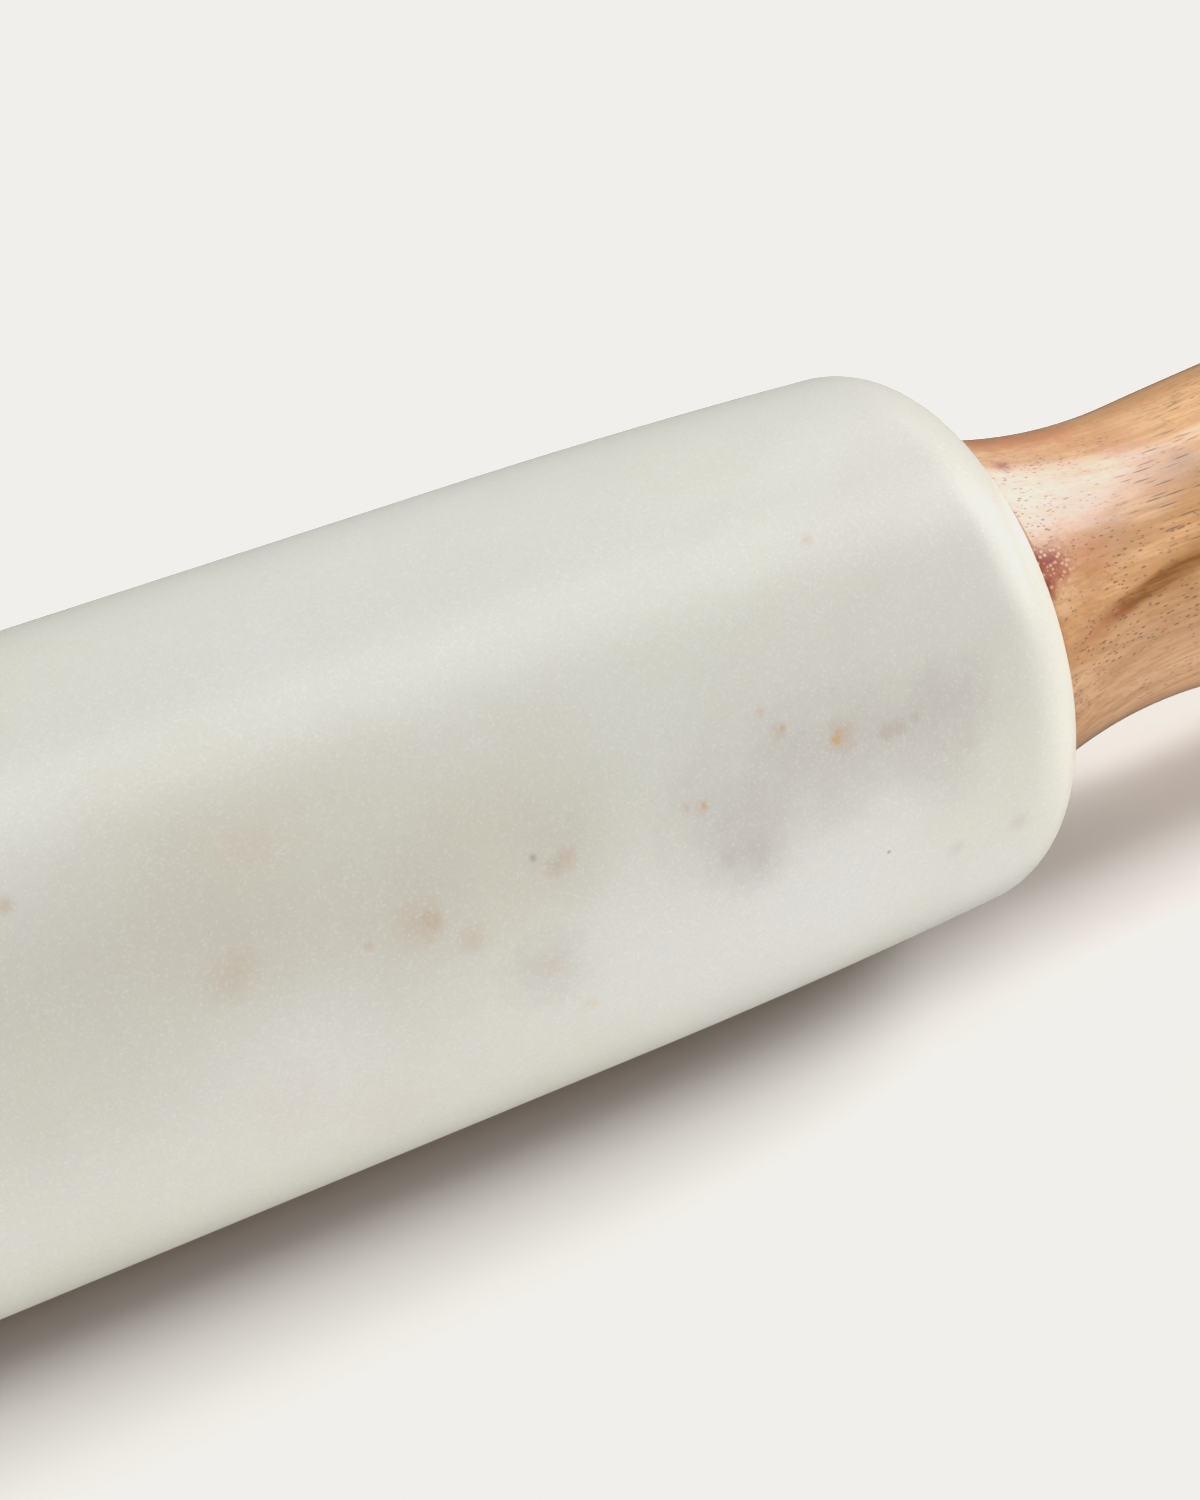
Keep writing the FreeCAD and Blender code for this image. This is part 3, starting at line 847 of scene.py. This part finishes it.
def steel_material(name, colour, roughness, streak_scale):
    """Turned steel, with fine streaks round the axle."""
    material, s, shader, position = new_material(name)
    x, y, z = s.split(position)
    radius = s.math("SQRT", s.math("ADD", s.math("POWER", y, 2.0), s.math("POWER", z, 2.0)))
    streaks = s.noise(s.join(x, radius, 0.0), Pattern(streak_scale, 4.0, 0.7))
    dark = tuple(c * STREAK_DARKENING for c in colour[:3]) + (1.0,)
    smoothest = roughness - STREAK_ROUGHENING
    roughest = roughness + STREAK_ROUGHENING
    s.feed(shader.inputs["Base Color"], s.mix(streaks, dark, colour))
    s.feed(shader.inputs["Roughness"], s.ramp(streaks, 0.3, 0.7, smoothest, roughest))
    s.feed(shader.inputs["Metallic"], 1.0)
    s.bump(shader, streaks, 0.15, 0.02 * MM)
    return material


def nylon_material():
    material, s, shader, position = new_material("moulded_nylon")
    mottle = s.noise(position, NYLON_MOTTLE)
    s.feed(shader.inputs["Base Color"], s.mix(mottle, NYLON_DARK, NYLON_PALE))
    s.feed(shader.inputs["Roughness"], s.ramp(mottle, 0.2, 0.8, 0.42, 0.56))
    s.bump(shader, mottle, 0.1, 0.05 * MM)
    return material


# Studio

FLOOR_COLOUR = (0.250, 0.248, 0.239, 1.0)
BACKDROP_COLOUR = (0.871, 0.863, 0.831, 1.0)
AMBIENT_COLOUR = (1.0, 0.99, 0.97, 1.0)
AMBIENT_STRENGTH = 0.02
WALL_STRENGTH = 0.10
FLOOR_SIZE = 8.0


def light_group(name, pieces):
    """A collection that a light can be kept to."""
    group = bpy.data.collections.new(name)
    for piece in pieces:
        group.objects.link(piece)
    return group


def add_floor():
    bpy.ops.object.select_all(action="DESELECT")
    bpy.ops.mesh.primitive_plane_add(size=FLOOR_SIZE, location=(0, 0, FLOOR_HEIGHT))
    floor = bpy.context.object
    floor.name = "studio_floor"
    bpy.ops.object.transform_apply(location=True, rotation=True, scale=True)
    material, s, shader, _ = new_material("matt_floor")
    s.feed(shader.inputs["Base Color"], FLOOR_COLOUR)
    s.feed(shader.inputs["Roughness"], 1.0)
    s.feed(shader.inputs["Specular IOR Level"], 0.0)
    floor.data.materials.append(material)
    floor.visible_glossy = False
    floor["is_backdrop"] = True
    return {"floor": light_group("floor_only", [floor])}


def add_world():
    """The air that lights the pin a little, the walls that its gloss shows, and the backdrop."""
    world = bpy.data.worlds.new("studio_air")
    world.use_nodes = True
    tree = world.node_tree
    tree.nodes.clear()
    s = Shading(tree)

    def background(colour, strength):
        node = s.add("ShaderNodeBackground", None, {"Color": colour, "Strength": strength})
        return node.outputs[0]

    def either(choice, no, yes):
        return s.add("ShaderNodeMixShader", None, {0: choice, 1: no, 2: yes}).outputs[0]

    air = background(AMBIENT_COLOUR, AMBIENT_STRENGTH)
    walls = background(AMBIENT_COLOUR, WALL_STRENGTH)
    backdrop = background(BACKDROP_COLOUR, 1.0)
    ray = s.add("ShaderNodeLightPath").outputs
    unseen = either(ray["Is Glossy Ray"], air, walls)
    shown = either(ray["Is Camera Ray"], unseen, backdrop)
    s.add("ShaderNodeOutputWorld", None, {"Surface": shown})
    bpy.context.scene.world = world


WHITE = (1.0, 1.0, 1.0)
WARM = (1.30, 1.0, 0.80)
AMBER_LIGHT = (1.35, 0.92, 0.68)
JUST_ABOVE_FLOOR = FLOOR_HEIGHT + MM
NECK_PLACE = (0.145, 0, 0)
FLOOR_REACH = 10.0
NEAR_REACH = 1.0
ALL_ALONG = (-56, 56)
PIN_MIDDLE = (0, 0, 0)
SIDE_PANEL_SIZE = (0.8, 0.7)


class Panel(NamedTuple):
    """A softbox's place, what it faces, and its size."""
    place: tuple
    target: tuple
    size: tuple


class Softbox(NamedTuple):
    """A panel's radiance, the pieces that it lights, its colour, and whether gloss shows it."""
    panel: Panel
    radiance: float
    receivers: str
    colour: tuple = WHITE
    glossy: bool = True


def span(reach, angles_deg):
    """How wide a panel is that fills a range of angles from a distance."""
    return 2 * reach * math.tan(math.radians(angles_deg[1] - angles_deg[0]) / 2)


def strip(angles_deg, sides_deg, reach, height):
    """A panel along X. It fills angles from +Y through overhead to -Y, and leans from -X to +X."""
    middle = math.radians(sum(angles_deg) / 2)
    ends = [reach * math.tan(math.radians(side)) for side in sides_deg]
    centre = sum(ends) / 2
    place = (centre, reach * math.cos(middle), height + reach * math.sin(middle))
    return Panel(place, (centre, 0, height), (ends[1] - ends[0], span(reach, angles_deg)))


def floor_strip(angles_deg, sides_deg):
    """A distant panel for the floor."""
    return strip(angles_deg, sides_deg, FLOOR_REACH, FLOOR_HEIGHT)


def near_strip(angles_deg):
    """A panel all along the pin."""
    return strip(angles_deg, ALL_ALONG, NEAR_REACH, 0)


def floor_panel(x, y, size):
    """A panel that lies on the floor and faces up, like the light that a bright floor sends back."""
    return Panel((x, y, JUST_ABOVE_FLOOR), (x, y, 1), size)


def window(azimuths_deg, heights_deg):
    """A panel that the lacquer shows: azimuths from +Y towards +X, and heights, from the neck."""
    azimuth = math.radians(sum(azimuths_deg) / 2)
    height = math.radians(sum(heights_deg) / 2)
    level = math.cos(height)
    direction = Vector((level * math.sin(azimuth), level * math.cos(azimuth), math.sin(height)))
    size = (span(NEAR_REACH, azimuths_deg) * level, span(NEAR_REACH, heights_deg))
    return Panel(Vector(NECK_PLACE) + direction * NEAR_REACH, NECK_PLACE, size)


SOFTBOXES = {
    "floor_far": Softbox(floor_strip((31.5, 45), (-32, 52)), 51.0, "floor"),
    "floor_right": Softbox(floor_strip((72, 106), (32, 74)), 28.5, "floor"),
    "floor_left": Softbox(floor_strip((92, 118), (-74, -34)), 24.0, "floor"),
    "floor_overhead": Softbox(floor_strip((80, 104), (-30, 30)), 7.0, "floor"),
    "floor_front": Softbox(floor_strip((140, 163), (-44, 50)), 2.7, "floor", AMBER_LIGHT),
    "overhead": Softbox(near_strip((60, 88)), 2.85, "barrel"),
    "near_overhead": Softbox(near_strip((88, 125)), 0.60, "barrel"),
    "back_right": Softbox(Panel((0.90, 0.72, 0.62), PIN_MIDDLE, SIDE_PANEL_SIZE), 1.35, "barrel"),
    "right": Softbox(Panel((1.1, 0.0, 0.5), PIN_MIDDLE, SIDE_PANEL_SIZE), 2.75, "barrel"),
    "front_bounce": Softbox(floor_panel(0, -0.27, (1.2, 0.4)), 1.4, "pin", glossy=False),
    "right_bounce": Softbox(floor_panel(0.32, -0.02, (0.3, 0.3)), 1.7, "barrel", glossy=False),
    "handle_bounce": Softbox(floor_panel(0.25, -0.10, (0.2, 0.3)), 1.4, "handles", WARM, glossy=False),
    "handle_overhead": Softbox(near_strip((48, 88)), 3.4, "handles", glossy=False),
    "handle_front": Softbox(near_strip((105, 150)), 0.55, "handles", glossy=False),
    "glint_core": Softbox(window((54, 82), (20, 47)), 1.3, "handles"),
    "glint_inner": Softbox(window((46, 87), (12, 46)), 1.3, "handles"),
    "glint_outer": Softbox(window((43, 90), (6, 53)), 1.2, "handles"),
    "glint_edge": Softbox(window((40, 97), (1, 62)), 0.9, "handles"),
}


def add_softbox(name, softbox, receivers):
    """A rectangular softbox that lights the pieces of one collection."""
    place, target, size = softbox.panel
    data = bpy.data.lights.new(name, "AREA")
    data.shape = "RECTANGLE"
    data.size, data.size_y = size
    data.energy = softbox.radiance * math.pi * size[0] * size[1]
    data.color = softbox.colour
    light = bpy.data.objects.new(name, data)
    light.location = place
    light.rotation_euler = (Vector(target) - Vector(place)).to_track_quat("-Z", "Y").to_euler()
    light.visible_camera = False
    light.visible_glossy = softbox.glossy
    light.light_linking.receiver_collection = receivers
    bpy.context.scene.collection.objects.link(light)


def add_lights(receivers):
    for name, softbox in SOFTBOXES.items():
        add_softbox(name, softbox, receivers[softbox.receivers])


# The pin

def finish_node(name, material):
    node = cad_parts[name]
    node.data.materials.clear()
    node.data.materials.append(material)


def dress(piece, node, body, material):
    """Shows a modelled piece in place of its node."""
    piece.data.materials.append(material)
    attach(piece, body)
    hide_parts(node)


def build_pin():
    barrel = turn_on_lathe("marble_barrel", barrel_outline(), bored=True)
    right_handle = turn_on_lathe("right_wood_handle", handle_outline(), bored=True)
    right_plug = turn_on_lathe("right_wood_plug", plug_outline(), bored=False)
    left_handle = turned_end_for_end(right_handle, "left_wood_handle")
    left_plug = turned_end_for_end(right_plug, "left_wood_plug")
    bpy.context.view_layer.update()

    soft_spot = soft_spot_group()
    out_of_view = out_of_view_group()
    pores = pore_group()
    marble = marble_material(barrel, soft_spot, out_of_view)
    acacia = acacia_material(right_handle, soft_spot, out_of_view, pores)
    dress(barrel, "barrel", "roller", marble)
    dress(right_handle, "right_handle", "axle_and_handles", acacia)
    dress(left_handle, "left_handle", "axle_and_handles", acacia)
    dress(right_plug, "right_end_plug", "axle_and_handles", acacia)
    dress(left_plug, "left_end_plug", "axle_and_handles", acacia)

    ground_steel = steel_material("ground_steel", GROUND_STEEL, roughness=0.28, streak_scale=2500.0)
    zinc = steel_material("zinc_plated_steel", ZINC, roughness=0.34, streak_scale=1800.0)
    nylon = nylon_material()
    finish_node("axle_rod", ground_steel)
    for side in ("left", "right"):
        finish_node(f"{side}_bush", nylon)
        for fastener in ("thrust_washer", "seat_washer", "spring_washer", "nut"):
            finish_node(f"{side}_{fastener}", zinc)

    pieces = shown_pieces()
    return {
        "barrel": light_group("barrel_only", [barrel]),
        "handles": light_group("all_but_barrel", [piece for piece in pieces if piece != barrel]),
        "pin": light_group("pin", pieces),
    }


add_camera()
receivers = build_pin() | add_floor()
add_world()
add_lights(receivers)
clip_whites()
